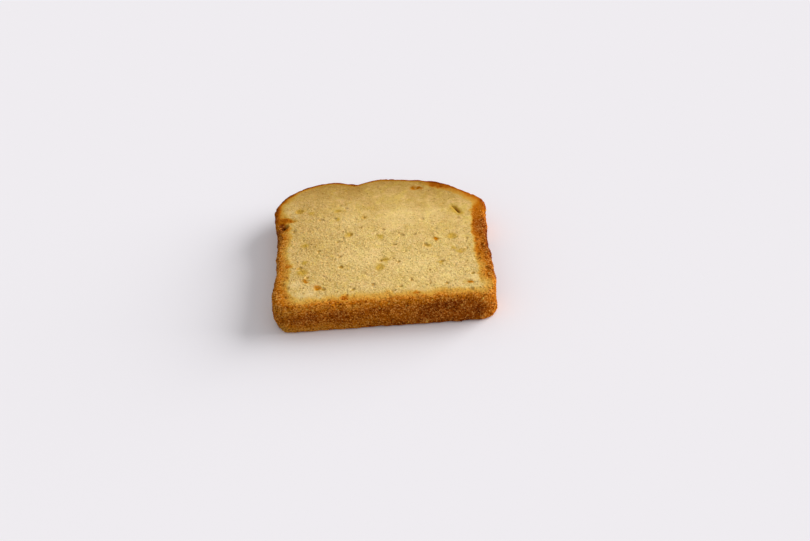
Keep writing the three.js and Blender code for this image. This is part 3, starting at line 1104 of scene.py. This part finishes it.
brown = attribute(tree, "browning")
clump = ease(tree, noise(tree, place, **CLUMPS), *CLUMPING)
grain = maths(tree, "ADD", cell_tint(tree, place, GRAIN_SIZE), own_tint)
grain = maths(tree, "ADD", maths(tree, "SUBTRACT", grain, 2 * MEAN_TINT), clump)
grain = times(tree, grain, ease(tree, brown, GRAINY_FROM, GRAINY_TO), attribute(tree, "sandy"))
pale_grain = ease(tree, grain, 0.0, STRONG_GRAIN, 0.0, PALE_GRAINS)
pale_share = times(tree, pale_grain, ease(tree, brown, *PALE_ON_DARK))
dark_grain = ease(tree, grain, -STRONG_GRAIN, 0.0, DARK_GRAINS, 0.0)
dark_share = times(tree, dark_grain, ease(tree, brown, *DARK_ON_DARK))

crust = ramp(tree, brown, CRUST_STOPS)
crust = mixed(tree, pale_share, crust, PALE_GRAIN)
crust = mixed(tree, dark_share, crust, DARK_GRAIN_TINT, "MULTIPLY")
# painted shade on the left wall and low down
cool_shade = times(tree, attribute(tree, "cool_shade"), COOL_SHADE_STRENGTH)
crust = mixed(tree, cool_shade, crust, COOL_SHADE_TINT, "MULTIPLY")
print("nodes with the crust:", len(tree.nodes))

# %% [markdown]
# ## One material for all of it
#
# Crumb turns into crust as browning rises, and both are dusky under the dome's skin. Cake is matt,
# and a little light sinks into it, more of the red than of the blue, which warms its shadows. The
# finest roughness is a bump in the material, because no mesh could carry it.

# %% Put the cake together
CRUST_SHOWS_AT = 0.3       # browning where crumb has fully turned into crust
DUSK_TINT = colour(182, 157, 83)
BUMPS = {"size": 0.9, "detail": 4.0, "roughness": 0.7}
BUMP_HEIGHT = 0.1 * MM

surface = mixed(tree, ease(tree, brown, 0.0, CRUST_SHOWS_AT), crumb, crust)
surface = mixed(tree, attribute(tree, "dusk"), surface, DUSK_TINT, "MULTIPLY")
bump_noise = maths(tree, "ADD", speck, noise(tree, place, **BUMPS))
bump_height = times(tree, finely, BUMP_HEIGHT)
bump = add_node(tree, "ShaderNodeBump", {"Height": bump_noise, "Distance": bump_height})
shader = add_node(tree, "ShaderNodeBsdfPrincipled", {
    "Base Color": surface,
    "Normal": bump.outputs["Normal"],
    "Roughness": 0.85,
    "Specular IOR Level": 0.01,
    "Subsurface Weight": 0.25,
    "Subsurface Radius": (0.9, 0.6, 0.4),
    "Subsurface Scale": 1.0 * MM,
})
add_node(tree, "ShaderNodeOutputMaterial", {"Surface": shader.outputs["BSDF"]})
print("nodes in all:", len(tree.nodes))

# %% [markdown]
# ## Dress the pieces
#
# Every piece is shaded smooth, gets the cake material and moves with the slice's only body, and a
# table lists which of the part's two materials it stands for. The sculpted skin takes the solid's
# place.

# %% Hand the pieces over
SLOTS = {sponge: "crumb", crust_grains: "crust", crumb_specks: "crumb", fallen_crumbs: "crumb"}
for piece, slot in SLOTS.items():
    piece.data.materials.clear()
    piece.data.materials.append(cake)
    piece.data.polygons.foreach_set("use_smooth", [True] * len(piece.data.polygons))
    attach(piece, "root")
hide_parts("cake_slice")
print("pieces:", {piece.name: slot for piece, slot in SLOTS.items()})

# %% [markdown]
# ## Floor and light
#
# The slice lies on a plain, very pale floor. The light is a broad soft lamp low on the right, a
# little behind the slice, so that its shadow falls softly to the left, and an even glow from all
# round, as in a white studio.

# %% Lay the floor
FLOOR_SIZE = 8.0           # metres; its edge only shows from lower than the photograph's angle
FLOOR = colour(238, 235, 239)

floor_shape = bmesh.new()
bmesh.ops.create_grid(floor_shape, x_segments=1, y_segments=1, size=FLOOR_SIZE / 2)
floor_mesh = bpy.data.meshes.new("floor")
floor_shape.to_mesh(floor_mesh)
floor_shape.free()
floor = add_object("floor", floor_mesh)
floor_paint = bpy.data.materials.new("floor_paint")
floor_paint.use_nodes = True
floor_shader = floor_paint.node_tree.nodes["Principled BSDF"]
floor_shader.inputs["Base Color"].default_value = FLOOR
floor_shader.inputs["Roughness"].default_value = 1.0
floor_shader.inputs["Specular IOR Level"].default_value = 0.0
floor_mesh.materials.append(floor_paint)

# %% Light the lamp and the sky
LAMP_AZIMUTH = math.radians(18)
LAMP_ELEVATION = math.radians(17)
LAMP_STRENGTH = 4.65
LAMP_SPREAD = math.radians(56)
SKY_STRENGTH = 0.56

towards_lamp = Vector((
    math.cos(LAMP_AZIMUTH) * math.cos(LAMP_ELEVATION),
    math.sin(LAMP_AZIMUTH) * math.cos(LAMP_ELEVATION),
    math.sin(LAMP_ELEVATION),
))
lamp_data = bpy.data.lights.new("studio_lamp", "SUN")
lamp_data.energy = LAMP_STRENGTH
lamp_data.angle = LAMP_SPREAD
lamp = add_object("studio_lamp", lamp_data)
lamp.rotation_euler = towards_lamp.to_track_quat("Z", "Y").to_euler()

sky = bpy.data.worlds.new("studio")
sky.use_nodes = True
sky_glow = sky.node_tree.nodes["Background"]
sky_glow.inputs["Color"].default_value = (1.0, 1.0, 1.0, 1.0)
sky_glow.inputs["Strength"].default_value = SKY_STRENGTH
bpy.context.scene.world = sky
bpy.context.scene.view_settings.view_transform = "Standard"
print("lamp from:", [round(part, 2) for part in towards_lamp])
